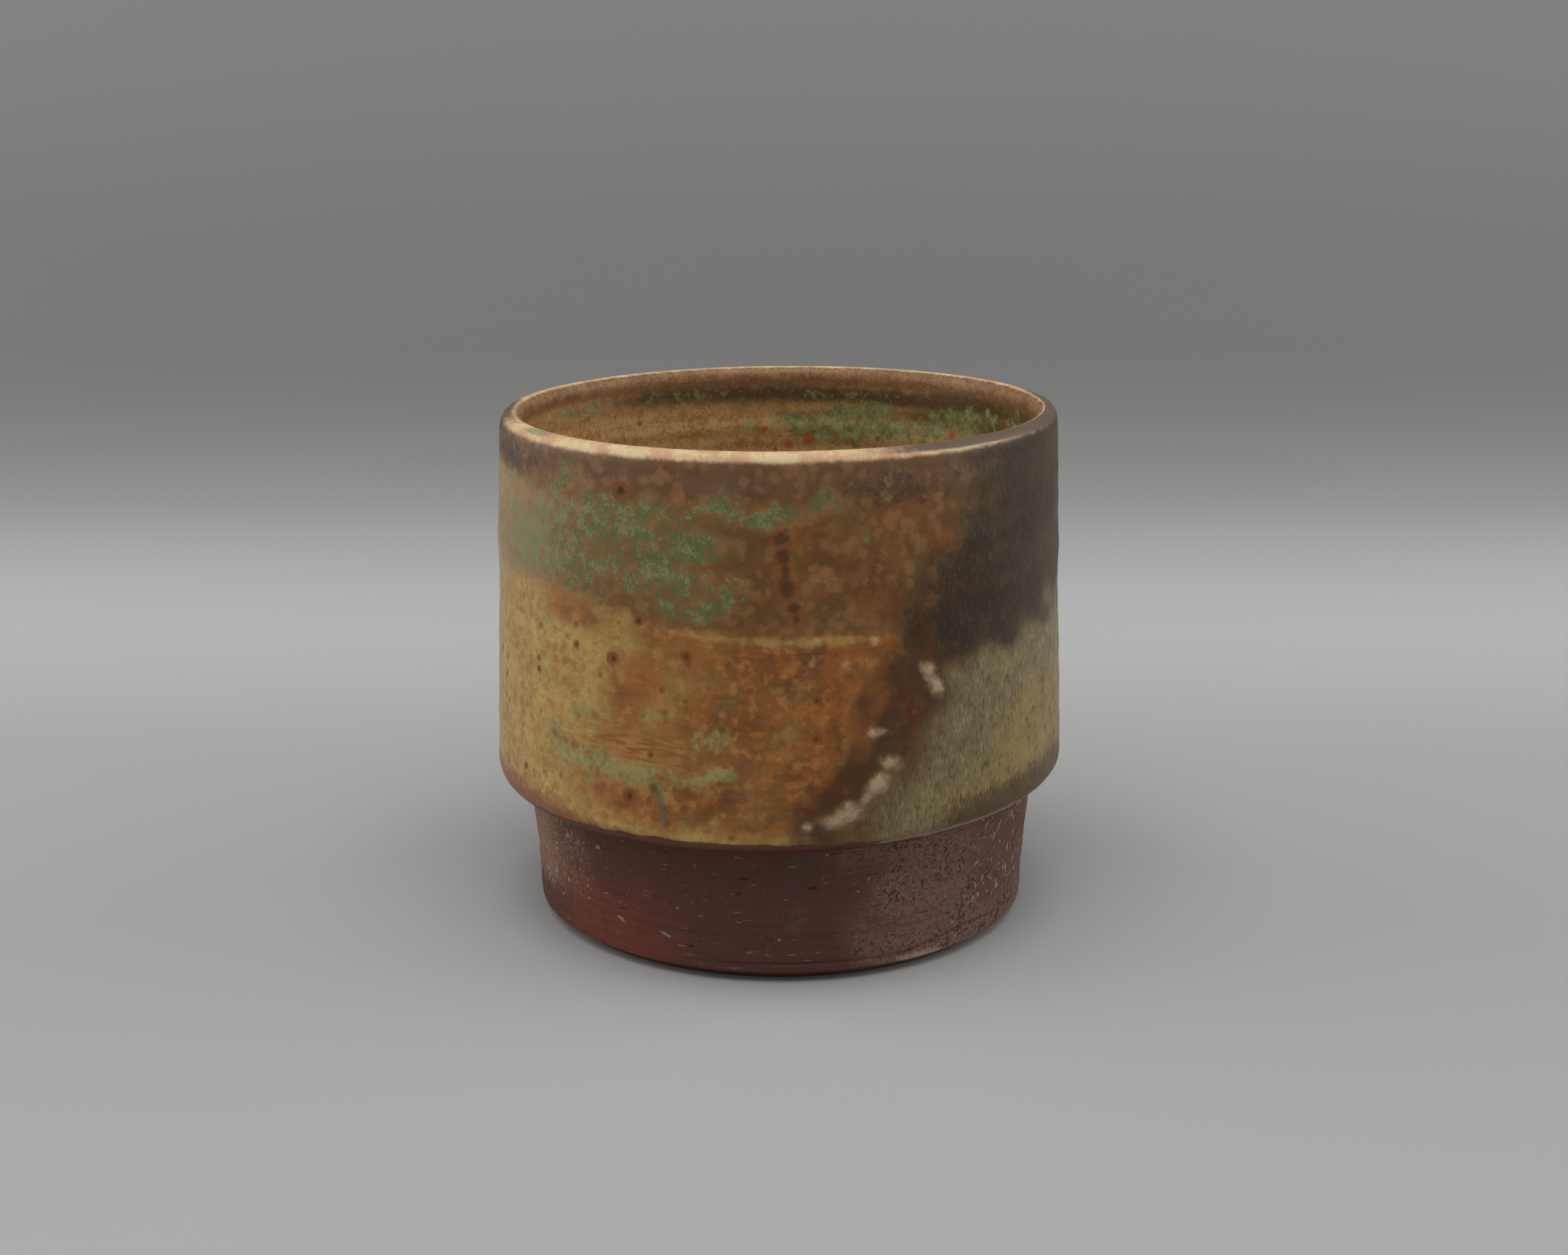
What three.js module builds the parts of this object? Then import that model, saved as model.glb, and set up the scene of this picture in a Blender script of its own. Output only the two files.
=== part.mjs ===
// A hand-thrown stoneware cup: one fired clay body with a turned foot, and three glaze coats fused to it.
// Millimetres, +Z up. The origin is on the table, at the centre of the foot.
import * as THREE from "three";

// Outside sizes, measured over the glaze
const CUP_HEIGHT = 79.7; // table to the top of the lip
const LIP_DIAMETER = 86.6; // where the rounding of the lip begins
const BODY_DIAMETER = 90; // widest, where the wall turns into the shoulder
const SHOULDER_ROUNDING = 3.5; // between the wall and the shoulder's underside
const SHOULDER_LEDGE = 0.7; // flat underside between that rounding and the foot

// Lip and inside, measured over the glaze
const LIP_THICKNESS = 3.4;
const LIP_ROUNDING = 1.9; // height of the rounded top of the lip
const WALL_AT_BOWL = 4.9; // wall where the straight inside meets the rounded bowl
const BOWL_DEPTH = 24.5; // height of the rounded bowl above the floor
const FLOOR_DIAMETER = 36; // flat middle of the inside floor
const FLOOR_THICKNESS = 7; // inside floor down to the recess under the foot

// Foot, bare clay
const FOOT_HEIGHT = 21.7; // table to the glaze line under the shoulder
const FOOT_TAPER = 1.8; // radius lost from the foot's top to its bevel
const FOOT_HOLLOW = 0.4; // how far the foot's side bends in from straight
const FOOT_BEVEL_HEIGHT = 1.1;
const FOOT_BEVEL_WIDTH = 1.6;
const FOOT_RING_WIDTH = 5.4; // flat ring that the cup stands on
const FOOT_RECESS_DEPTH = 3.5;
const FOOT_RECESS_ROUNDING = 1.5;

// Glaze coats
const OUTER_GLAZE = 0.5; // first glaze on the outside
const SECOND_GLAZE = 0.4; // second glaze over the upper part and the lip
const SECOND_GLAZE_DIP = 25.7; // top of the lip down to its lower edge
const SECOND_GLAZE_EDGE = 0.1; // thickness left at its lower edge
const SECOND_GLAZE_FEATHER = 5; // height over which it thins out
const LINER_GLAZE = 0.5; // glaze on the inside

// Fineness of the turned surfaces
const TURN_STEPS = 48;
const LIP_STEPS = 8;
const SHOULDER_STEPS = 5;
const BOWL_STEPS = 8;
const FOOT_STEPS = 4;
const RECESS_STEPS = 3;

// Levels and radii that several pieces share
const lipLevel = CUP_HEIGHT - LIP_ROUNDING;
const dipLevel = CUP_HEIGHT - SECOND_GLAZE_DIP;
const shoulderLevel = FOOT_HEIGHT + SHOULDER_ROUNDING;
const floorLevel = FOOT_RECESS_DEPTH + FLOOR_THICKNESS;
const bowlLevel = floorLevel + BOWL_DEPTH;
const lipRadius = LIP_DIAMETER / 2;
const bodyRadius = BODY_DIAMETER / 2;
const mouthRadius = lipRadius - LIP_THICKNESS;
const shoulderRadius = bodyRadius - SHOULDER_ROUNDING;
const footTopRadius = shoulderRadius - SHOULDER_LEDGE;
const floorRadius = FLOOR_DIAMETER / 2;

const point = (radius, height) => new THREE.Vector2(radius, height);

// Part of an ellipse in the upright section, between two angles in degrees from the outward direction.
function arc(centre, width, height, from, to, steps) {
  const [start, end] = [from, to].map(THREE.MathUtils.degToRad);
  const curve = new THREE.EllipseCurve(centre.x, centre.y, width, height, start, end, to < from);
  return curve.getPoints(steps);
}

// Radius of the straight outside wall at a height, over the first glaze and without the second.
function wallRadius(height) {
  const share = (height - shoulderLevel) / (lipLevel - shoulderLevel);
  return THREE.MathUtils.lerp(bodyRadius, lipRadius - SECOND_GLAZE, share);
}

// Outside from the lip down to the foot: of the first glaze, or of the clay that is that glaze's depth in.
function outsideWall(depth) {
  const centre = point(shoulderRadius, shoulderLevel);
  const radius = SHOULDER_ROUNDING - depth;
  return [
    point(wallRadius(lipLevel) - depth, lipLevel),
    point(wallRadius(dipLevel) - depth, dipLevel),
    ...arc(centre, radius, radius, 0, -90, SHOULDER_STEPS),
    point(footTopRadius, FOOT_HEIGHT + depth),
  ];
}

// Top of the lip over the glaze, from its outer edge to the mouth.
function lipTop() {
  const half = LIP_THICKNESS / 2;
  return arc(point(lipRadius - half, lipLevel), half, LIP_ROUNDING, 0, 180, LIP_STEPS);
}

// Top of the clay lip under the glaze, between the clay's outside and inside walls.
function clayLipTop() {
  const outer = lipRadius - SECOND_GLAZE - OUTER_GLAZE;
  const inner = mouthRadius + LINER_GLAZE;
  const half = (outer - inner) / 2;
  return arc(point(inner + half, lipLevel), half, LIP_ROUNDING - SECOND_GLAZE, 0, 180, LIP_STEPS);
}

// Inside from the mouth to the floor's centre: of the liner, or of the clay that is the liner's depth in.
function insideWall(depth) {
  const bowlRadius = wallRadius(bowlLevel) - WALL_AT_BOWL;
  const centre = point(floorRadius, bowlLevel);
  return [
    point(mouthRadius + depth, lipLevel),
    ...arc(centre, bowlRadius - floorRadius + depth, BOWL_DEPTH + depth, 0, -90, BOWL_STEPS),
    point(0, floorLevel - depth),
  ];
}

// Bare foot, from under the shoulder down its hollow side, over the bevel and ring and into the recess.
function footOutline() {
  const top = point(footTopRadius, FOOT_HEIGHT);
  const base = point(footTopRadius - FOOT_TAPER, FOOT_BEVEL_HEIGHT);
  const middle = point((top.x + base.x) / 2, (top.y + base.y) / 2);
  const pull = point(middle.x - 2 * FOOT_HOLLOW, middle.y);
  const side = new THREE.QuadraticBezierCurve(top, pull, base);
  const ringOuter = base.x - FOOT_BEVEL_WIDTH;
  const ringInner = ringOuter - FOOT_RING_WIDTH;
  const roundingCentre = point(ringInner - FOOT_RECESS_ROUNDING, FOOT_RECESS_DEPTH - FOOT_RECESS_ROUNDING);
  return [
    ...side.getPoints(FOOT_STEPS),
    point(ringOuter, 0),
    point(ringInner, 0),
    ...arc(roundingCentre, FOOT_RECESS_ROUNDING, FOOT_RECESS_ROUNDING, 0, 90, RECESS_STEPS),
    point(0, FOOT_RECESS_DEPTH),
  ];
}

// Turns an outline about the upright axis, as the potter's wheel does.
function turned(name, outline, material) {
  const geometry = new THREE.LatheGeometry(outline, TURN_STEPS);
  geometry.rotateX(Math.PI / 2);
  const mesh = new THREE.Mesh(geometry, material);
  mesh.name = name;
  return mesh;
}

const finish = (color, roughness) => new THREE.MeshStandardMaterial({ color, roughness, metalness: 0 });

// The thrown and turned pot: wall, floor and foot are one piece of clay
function clayBody() {
  const outline = [
    ...footOutline().reverse(),
    ...outsideWall(OUTER_GLAZE).reverse(),
    ...clayLipTop().slice(1, -1),
    ...insideWall(LINER_GLAZE),
  ];
  return turned("clay_body", outline, finish(0x4f312a, 0.75));
}

// First glaze, from the lip to the foot's top
function outerGlaze() {
  const outside = outsideWall(0).reverse();
  const outline = [...outside, ...outsideWall(OUTER_GLAZE), outside[0]];
  return turned("outer_glaze", outline, finish(0x8c6a38, 0.45));
}

// Second glaze, from its dip line up over the lip to the mouth, thinning out at its lower edge
function secondGlaze() {
  const featherLevel = dipLevel + SECOND_GLAZE_FEATHER;
  const edge = point(wallRadius(dipLevel), dipLevel);
  const outline = [
    edge,
    point(edge.x + SECOND_GLAZE_EDGE, edge.y),
    point(wallRadius(featherLevel) + SECOND_GLAZE, featherLevel),
    ...lipTop(),
    ...clayLipTop().reverse(),
    point(wallRadius(lipLevel), lipLevel),
    edge,
  ];
  return turned("second_glaze", outline, finish(0x6b573d, 0.5));
}

// Liner, from the mouth down over the floor
function linerGlaze() {
  const outline = [...insideWall(LINER_GLAZE).reverse(), ...insideWall(0)];
  return turned("liner_glaze", outline, finish(0x74522e, 0.4));
}

const cup = new THREE.Group();
cup.name = "cup";
cup.add(clayBody(), outerGlaze(), secondGlaze(), linerGlaze());

export default cup;
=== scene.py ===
"""A hand-thrown stoneware cup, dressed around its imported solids.

Shapes are worked out in millimetres on grids of profile row by turn, and go into the meshes in metres.
Angles are counted from the front of the cup, which faces -Y, and grow towards the viewer's right.
"""
import math

import bpy
import numpy as np
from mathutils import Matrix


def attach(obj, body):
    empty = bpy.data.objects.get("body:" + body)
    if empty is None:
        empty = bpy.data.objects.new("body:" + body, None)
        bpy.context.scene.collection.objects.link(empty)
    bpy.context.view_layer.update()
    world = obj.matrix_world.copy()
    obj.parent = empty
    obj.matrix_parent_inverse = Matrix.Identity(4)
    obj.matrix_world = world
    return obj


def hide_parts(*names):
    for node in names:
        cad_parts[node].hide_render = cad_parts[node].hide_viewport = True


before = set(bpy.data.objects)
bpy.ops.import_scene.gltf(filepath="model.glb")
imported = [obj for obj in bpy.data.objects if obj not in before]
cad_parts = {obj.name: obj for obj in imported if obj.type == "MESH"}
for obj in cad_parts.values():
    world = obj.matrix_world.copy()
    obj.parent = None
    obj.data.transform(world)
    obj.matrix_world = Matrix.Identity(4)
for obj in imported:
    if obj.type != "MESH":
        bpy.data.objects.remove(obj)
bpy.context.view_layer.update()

# Sizes of the cup in millimetres, as in its solids
MM = 0.001
TURN = 2 * math.pi
CUP_HEIGHT = 79.7
LIP_RADIUS = 43.3
LIP_THICKNESS = 3.4
LIP_ROUNDING = 1.9
BODY_RADIUS = 45.0
SHOULDER_ROUNDING = 3.5
SHOULDER_LEDGE = 0.7
FOOT_HEIGHT = 21.7
FOOT_TAPER = 1.8
FOOT_HOLLOW = 0.4
FOOT_BEVEL_HEIGHT = 1.1
FOOT_BEVEL_WIDTH = 1.6
FOOT_RING_WIDTH = 5.4
FOOT_RECESS_DEPTH = 3.5
FOOT_RECESS_ROUNDING = 1.5
WALL_AT_BOWL = 4.9
BOWL_DEPTH = 24.5
FLOOR_RADIUS = 18.0
FLOOR_THICKNESS = 7.0
FIRST_COAT = 0.5
SECOND_COAT = 0.4
LINER_COAT = 0.5

# Levels and radii that follow from them
LIP_LEVEL = CUP_HEIGHT - LIP_ROUNDING
SHOULDER_LEVEL = FOOT_HEIGHT + SHOULDER_ROUNDING
FLOOR_LEVEL = FOOT_RECESS_DEPTH + FLOOR_THICKNESS
BOWL_LEVEL = FLOOR_LEVEL + BOWL_DEPTH
UNDER_LIP = LIP_RADIUS - SECOND_COAT
MOUTH_RADIUS = LIP_RADIUS - LIP_THICKNESS
SHOULDER_RADIUS = BODY_RADIUS - SHOULDER_ROUNDING
FOOT_TOP_RADIUS = SHOULDER_RADIUS - SHOULDER_LEDGE
FOOT_BASE_RADIUS = FOOT_TOP_RADIUS - FOOT_TAPER
RING_OUTER = FOOT_BASE_RADIUS - FOOT_BEVEL_WIDTH
RING_INNER = RING_OUTER - FOOT_RING_WIDTH
HIDDEN_FLOOR_LEVEL = FLOOR_LEVEL - LINER_COAT

# What the hand left: worn edges of the foot, a drawn-in lip and the second glaze's thin lower edge
RING_EDGE_ROUNDING = 0.5
RING_WEAR = 0.9
BEVEL_WEAR_ACROSS = 0.25
BEVEL_WEAR_UPWARD = 0.6
LIP_DRAW_IN = 1.0
LIP_SQUARENESS = 2.3
DIP_LEVEL = 54.2
DIP_OVERLAP = 2.2
DIP_EDGE_COAT = 0.03
DIP_FEATHER = 9

# Fineness of the meshes
CLAY_COLUMNS = 520
OUTSIDE_COLUMNS = 560
INSIDE_COLUMNS = 440
POLE_RADIUS = 1.2
HIDDEN_POLE_RADIUS = 2
FINE_ROWS_TOP = 60
SHARP_ANGLE = 55
WAVES = 36


# Soft edges, bells and random fields


def rise(value, low, high):
    """An S-shaped step from 0 at low to 1 at high."""
    share = np.clip((value - low) / (high - low), 0, 1)
    return share * share * (3 - 2 * share)


def mottle(angle, height, size, seed):
    """A random field about 0 with spread 1: a sum of waves of about one length in mm, with a whole number of
    them to a turn."""
    rng = np.random.default_rng(seed)
    heading = rng.uniform(0, math.pi, WAVES)
    pace = TURN / (size * rng.uniform(0.8, 1.6, WAVES))
    around = np.round(pace * np.cos(heading) * BODY_RADIUS)
    upward = pace * np.sin(heading)
    phase = rng.uniform(0, TURN, WAVES)
    waves = np.cos(angle[..., None] * around + height[..., None] * upward + phase)
    return waves.sum(-1) * math.sqrt(2 / WAVES)


def arc_from(angle, degrees):
    """Distance round the body, in mm, from a line that stands at some degrees from the front."""
    turn = angle - math.radians(degrees)
    return (np.mod(turn + math.pi, TURN) - math.pi) * BODY_RADIUS


def patch(angle, height, at, half, tilt=0.0):
    """A bell of 1 at a place (degrees round, mm up), with half-lengths in mm along and across its tilt in
    degrees."""
    across = arc_from(angle, at[0])
    upward = height - at[1]
    cosine = math.cos(math.radians(tilt))
    sine = math.sin(math.radians(tilt))
    long = (across * cosine + upward * sine) / half[0]
    short = (upward * cosine - across * sine) / half[1]
    return np.exp(-long * long - short * short)


def distance_to_run(angle, height, places):
    """Least distance in mm to a run of straight stretches between places (degrees round, mm up)."""
    middle = places[len(places) // 2][0]
    across = arc_from(angle, middle)
    ends = [(math.radians(turn - middle) * BODY_RADIUS, up) for turn, up in places]
    nearest = np.full(angle.shape, 1e6)
    for (left, low), (right, high) in zip(ends[:-1], ends[1:]):
        along = right - left
        climb = high - low
        share = ((across - left) * along + (height - low) * climb) / (along ** 2 + climb ** 2)
        share = np.clip(share, 0, 1)
        nearest = np.minimum(nearest, np.hypot(across - left - share * along, height - low - share * climb))
    return nearest


def run(angle, height, places, half):
    """A bell about a run of places, half as high at the given distance in mm."""
    return np.exp(-math.log(2) * (distance_to_run(angle, height, places) / half) ** 2)


# The form that left the wheel


def wall_radius(height):
    """Outside of the first glaze: widens from the lip to the shoulder, a little faster near the lip."""
    share = np.clip((LIP_LEVEL - height) / (LIP_LEVEL - SHOULDER_LEVEL), 0, 1)
    return UNDER_LIP + (BODY_RADIUS - UNDER_LIP) * (1 - (1 - share) ** 1.3)


def thrown(angle, height):
    """How far the hand left the true turned form, outwards and upwards in mm: an oval mouth, rings of the
    fingers, a flatter right side, a body set a little left on its foot, a shoulder that hangs lower on the
    left and a lip that stands higher at the front right."""
    oval = 0.2 * np.cos(2 * angle - 0.9) * height / CUP_HEIGHT
    rings = 0.025 * np.sin(TURN * height / 7.3 + angle) + 0.018 * np.sin(TURN * height / 4.1 - angle + 1)
    flat = -0.32 * patch(angle, height, (80, 62), (45, 17))
    lean = -0.24 * np.sin(angle) * rise(height, 22, 26)
    droop = 0.8 * np.sin(angle) + 0.5 * patch(angle, height, (80, 24), (32, 30))
    hang = droop * np.exp(-((height - 23) / 9) ** 2)
    sway = (0.22 + 0.21 * np.cos(angle) + 0.38 * np.sin(angle)) * (height / CUP_HEIGHT) ** 4
    return oval + rings * rise(height, 24, 32) + flat + lean, hang + sway


def dip_line(angle):
    """Height of the second glaze's visible edge: level, with a rise at the left front and a slow wave
    behind."""
    left = 3.8 * np.exp(-(arc_from(angle, -50) / 20.5) ** 2)
    behind = 1.6 * np.sin(3 * angle + 0.5) * rise(np.abs(angle), 1.6, 2.4)
    return DIP_LEVEL + left + behind


# Profile stretches, each a list of (radius, height) rows without its last end


def straight(start, end, count):
    """Evenly spaced rows on a straight line."""
    share = np.linspace(0, 1, count, endpoint=False)[:, None]
    return np.array(start) * (1 - share) + np.array(end) * share


def rounded(centre, width, height, start, end, count, squareness=2.0):
    """Rows on an upright ellipse between two angles in degrees; above 2 the squareness flattens its top and
    sides."""
    turn = np.radians(np.linspace(start, end, count, endpoint=False))
    across = np.sign(np.cos(turn)) * np.abs(np.cos(turn)) ** (2 / squareness)
    upward = np.sign(np.sin(turn)) * np.abs(np.sin(turn)) ** (2 / squareness)
    return np.stack([centre[0] + width * across, centre[1] + height * upward], -1)


def wall(depth, low, high, count):
    """Rows up, or down, the outside wall, at some depth under the first glaze's surface."""
    height = np.linspace(low, high, count, endpoint=False)
    return np.stack([wall_radius(height) - depth, height], -1)


def shoulder(depth, start, end, count):
    """Rows round the shoulder, at some depth under the first glaze's surface."""
    radius = SHOULDER_ROUNDING - depth
    return rounded((SHOULDER_RADIUS, SHOULDER_LEVEL), radius, radius, start, end, count)


def bowl(depth, start, end, count):
    """Rows round the bowl inside, at some depth under the liner's surface."""
    width = wall_radius(BOWL_LEVEL) - WALL_AT_BOWL - FLOOR_RADIUS + depth
    return rounded((FLOOR_RADIUS, BOWL_LEVEL), width, BOWL_DEPTH + depth, start, end, count)


def bowl_edge(depth):
    """Where the straight inside meets the bowl."""
    return wall_radius(BOWL_LEVEL) - WALL_AT_BOWL + depth, BOWL_LEVEL


def clay_lip(start, end, count):
    """Rows over the clay lip under its glaze."""
    outer = UNDER_LIP - FIRST_COAT
    inner = MOUTH_RADIUS + LINER_COAT
    half = (outer - inner) / 2
    return rounded((inner + half, LIP_LEVEL), half, LIP_ROUNDING - SECOND_COAT, start, end, count)


def foot_side(count):
    """Rows up the foot's side: a curve from the bevel to the top, bent in from straight by the foot's
    hollow."""
    share = np.linspace(0, 1, count, endpoint=False)[:, None]
    base = np.array([FOOT_BASE_RADIUS, FOOT_BEVEL_HEIGHT])
    top = np.array([FOOT_TOP_RADIUS, FOOT_HEIGHT])
    pull = (base + top) / 2 - np.array([2 * FOOT_HOLLOW, 0])
    return base * (1 - share) ** 2 + pull * 2 * share * (1 - share) + top * share ** 2


# Meshes


def turned_mesh(name, radius, height, poles=None):
    """A surface turned about the upright axis, one row of radius and height for each point of its profile.

    Columns meet all round. Without poles the last row meets the first. With poles, two heights on the axis,
    the first and last rows close in fans on them."""
    rows, columns = radius.shape
    angle = np.linspace(-math.pi, math.pi, columns, endpoint=False)
    points = np.stack([radius * np.sin(angle), -radius * np.cos(angle), height], -1).reshape(-1, 3)
    here = np.arange(rows * columns).reshape(rows, columns)
    if poles is None:
        here = np.concatenate([here, here[:1]])
    beside = np.roll(here, -1, axis=1)
    faces = np.stack([here[:-1], beside[:-1], beside[1:], here[1:]], -1).reshape(-1, 4).tolist()
    if poles is not None:
        first = np.full(columns, len(points))
        points = np.concatenate([points, [[0, 0, poles[0]], [0, 0, poles[1]]]])
        faces += np.stack([first, beside[0], here[0]], -1).tolist()
        faces += np.stack([first + 1, here[-1], beside[-1]], -1).tolist()
    mesh = bpy.data.meshes.new(name)
    mesh.from_pydata((points * MM).tolist(), [], faces)
    mesh.shade_smooth()
    mesh.set_sharp_from_angle(angle=math.radians(SHARP_ANGLE))
    return mesh


def add_fields(mesh, fields):
    """Puts each field of the grid on the mesh's points; a pole takes its nearest row's mean."""
    for name, values in fields.items():
        flat = values.ravel()
        if len(mesh.vertices) > len(flat):
            flat = np.concatenate([flat, [values[0].mean(), values[-1].mean()]])
        made = mesh.attributes.new(name, "FLOAT", "POINT")
        made.data.foreach_set("value", flat.astype(np.float32))


def add_piece(mesh, node, material):
    """Shows a mesh in place of the solid of a node."""
    piece = bpy.data.objects.new(mesh.name, mesh)
    bpy.context.scene.collection.objects.link(piece)
    mesh.materials.append(material)
    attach(piece, "root")
    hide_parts(node)


def grid(profile, columns):
    """Angle, radius and height of every point of a profile turned on so many columns."""
    angle = np.linspace(-math.pi, math.pi, columns, endpoint=False)
    angle = np.broadcast_to(angle, (len(profile), columns))
    radius = np.broadcast_to(profile[:, :1], angle.shape)
    height = np.broadcast_to(profile[:, 1:], angle.shape)
    return angle, radius, height


def placed(angle, radius, height, relief):
    """Radius and height as thrown, with a relief in mm outwards; near the axis the hand's play fades."""
    outward, upward = thrown(angle, height)
    return radius + outward * np.minimum(radius / BODY_RADIUS, 1) + relief, height + upward


# Where glazes, runs and scars lie: a strength, if any, a place in degrees round and mm up, half-sizes, a tilt

CELADON_PATCHES = [
    (0.8, (-38, 66.5), (19, 5.5), -6),
    (0.5, (-62, 64), (11, 6), 0),
    (0.55, (-47, 60.5), (12, 3.6), -4),
    (0.25, (-70, 60), (8, 5), 0),
    (0.9, (-45, 74.4), (3.4, 1.8), 30),
    (0.7, (-39, 72), (4, 2.0), -30),
    (0.75, (-26, 71.4), (6, 2.6), 10),
    (1.0, (-10.8, 72.6), (3.4, 2.0), 0),
    (0.5, (-21, 69), (7, 2.4), 0),
    (0.5, (-3.5, 70.4), (4.5, 1.3), 0),
    (0.7, (-14, 67), (4.5, 1.6), 0),
    (0.8, (-18, 60.5), (8, 3.4), -8),
    (0.75, (-1.3, 71.3), (2.6, 1.4), 0),
    (0.7, (8, 72.4), (7, 1.8), 10),
    (0.5, (8.5, 74.3), (1.8, 1.0), 0),
    (0.5, (15, 68.3), (2.4, 2.0), 0),
    (0.35, (11, 61.6), (4, 2.2), 0),
    (0.85, (-112, 67), (22, 6), 4),
    (0.6, (-148, 64), (16, 7), 0),
    (0.7, (162, 69), (16, 4), -6),
]
CELADON_LINES = [
    (0.9, [(-22, 57.6), (-15, 56.9), (-11, 57.6), (-9.5, 59.6)], 0.8),
    (0.7, [(-26, 64.7), (-13, 64.9)], 0.5),
]
MILKY_RUNS = [
    (1.0, [(-48.2, 36.6), (-46, 34), (-41.8, 34), (-34.4, 33.7), (-28.6, 33.1), (-23.3, 32.9)], 1.5),
    (0.8, [(-23.3, 32.9), (-17, 32.6), (-12.7, 33.8), (-9, 34.3)], 1.2),
    (0.65, [(-42, 40.7), (-34.4, 41.2)], 1.3),
    (0.6, [(-26, 41.8), (-21, 42.2)], 1.1),
    (0.5, [(-32, 39), (-29.6, 39.1)], 0.7),
    (0.7, [(-15.5, 38.6), (-10.5, 39.6)], 1.6),
    (0.85, [(-24.2, 32.2), (-22.4, 29.8)], 1.0),
    (0.8, [(-22.4, 29.8), (-21.4, 26.8)], 0.55),
    (0.6, [(-39.6, 31.6), (-38, 31.2)], 0.9),
    (0.35, [(-62, 47), (-52, 44.5)], 2.4),
    (0.9, [(-150, 36), (-138, 33), (-122, 34), (-112, 33)], 1.6),
]
IRON_SPOTS = [
    (-32.8, 49.4, 0.95),
    (-17.5, 51, 0.8),
    (-53.4, 44.8, 0.5),
    (-53.6, 46.4, 0.45),
    (-29, 29.7, 1.0),
    (6.6, 45.2, 0.6),
    (6.3, 39.6, 0.55),
    (13.2, 42.8, 0.4),
    (-41.9, 50.3, 0.6),
    (-27, 55.5, 0.7),
    (-58.5, 29.2, 0.5),
    (1.3, 46.7, 0.35),
    (-24.5, 36.2, 0.45),
    (-30.8, 73.6, 1.3),
    (-69, 41, 0.45),
    (-74, 44, 0.5),
    (-118, 47, 0.8),
    (-140, 41, 0.7),
    (-101, 51, 0.6),
    (152, 45, 0.7),
    (170, 37, 0.6),
]
RUST_CLOUDS = [
    (0.35, (-27, 29.5), (11, 3), 0),
    (0.25, (-26, 39), (13, 6), 0),
    (0.3, (-12, 52.6), (9, 2), 0),
    (0.45, (-38, 54), (14, 3), -6),
]
RUSTY_PATCHES = [
    ((-40.7, 54.7), (1.3, 0.9), 0),
    ((-47, 56), (0.7, 1.0), 0),
    ((-46, 53.8), (0.7, 0.7), 0),
    ((-15.5, 53.5), (1.1, 0.8), 0),
    ((-14.3, 59.9), (1.5, 1.1), 0),
    ((-42, 72.9), (1.0, 1.2), -40),
    ((-19.3, 73.5), (1.1, 1.3), 0),
    ((-13.8, 70.4), (0.8, 0.6), 0),
    ((-4, 72.6), (1.5, 0.9), 0),
    ((-24, 69.5), (1.4, 0.9), 0),
    ((31, 67), (3.2, 2.2), 20),
    ((20, 70), (2.4, 1.6), 0),
    ((18, 58.5), (5, 2.6), 10),
    ((14, 52.5), (5, 2.2), -10),
    ((17.5, 46), (3, 3.5), 0),
]
CREAM_PATCHES = [
    (0.9, (28.2, 48.2), (1.4, 1.1), -20),
    (1.0, (29.7, 46.0), (2.1, 1.1), -60),
    (0.8, (17.4, 40.0), (1.7, 0.8), 0),
    (0.9, (20.3, 35.3), (1.7, 1.2), -30),
    (1.0, (17.9, 32.3), (2.1, 1.4), 35),
    (0.7, (15.6, 30.4), (1.5, 0.9), 45),
    (0.85, (12.4, 28.2), (2.5, 1.6), 20),
    (0.8, (9.6, 27.2), (2.2, 1.0), 0),
    (0.8, (4.8, 26.6), (0.9, 0.8), 0),
    (0.5, (6.6, 53.6), (0.9, 0.9), 0),
    (0.55, (17, 53.2), (0.8, 0.9), 0),
    (0.5, (5.7, 50.6), (0.7, 0.8), 0),
    (0.4, (12, 50), (1.3, 0.6), 20),
    (0.9, (-162, 33), (1.6, 0.9), 30),
]
LUMPS = [
    ((-12.5, 28.8), (5.2, 1.3), 34),
    ((-3.5, 27.2), (3.6, 1.2), 22),
    ((-16.5, 31.2), (2.4, 0.9), 0),
    ((4.5, 30.6), (2.6, 1.4), 50),
    ((1.5, 34), (2.2, 1.0), 0),
    ((-30.5, 28), (3, 0.9), 8),
    ((-35, 30), (1.8, 0.9), 0),
    ((-21.3, 28.2), (0.7, 2.4), 8),
]
DRIP_BLOBS = [
    ((0.2, 68.2), (1.5, 1.5), 0),
    ((0.3, 65.8), (1.3, 1.4), 0),
    ((0.7, 63.6), (0.8, 1.2), 0),
    ((1.0, 61.4), (1.6, 1.9), 0),
    ((2.4, 58.6), (1.2, 1.0), 0),
]
GLAZE_DROP = [(-22, 29), (-20.8, 25.8)]
GREEN_TAIL = [(-23.8, 31.4), (-22.4, 29.6), (-21.4, 26.6)]
RUST_DRIP = [(0.5, 69), (0.2, 66), (1.0, 62), (1.4, 60.4), (2.6, 58.2), (3.4, 56.6)]
FOOT_DRAGS = [
    ((-7.9, 16.9), (1.3, 0.3), 0),
    ((-9.2, 14.4), (0.9, 0.3), 8),
    ((-2.4, 7.1), (1.0, 0.25), 0),
    ((6.8, 15.3), (1.0, 0.3), 0),
    ((-20, 5), (0.8, 0.25), -5),
    ((150, 9), (1.4, 0.3), 0),
]
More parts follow.
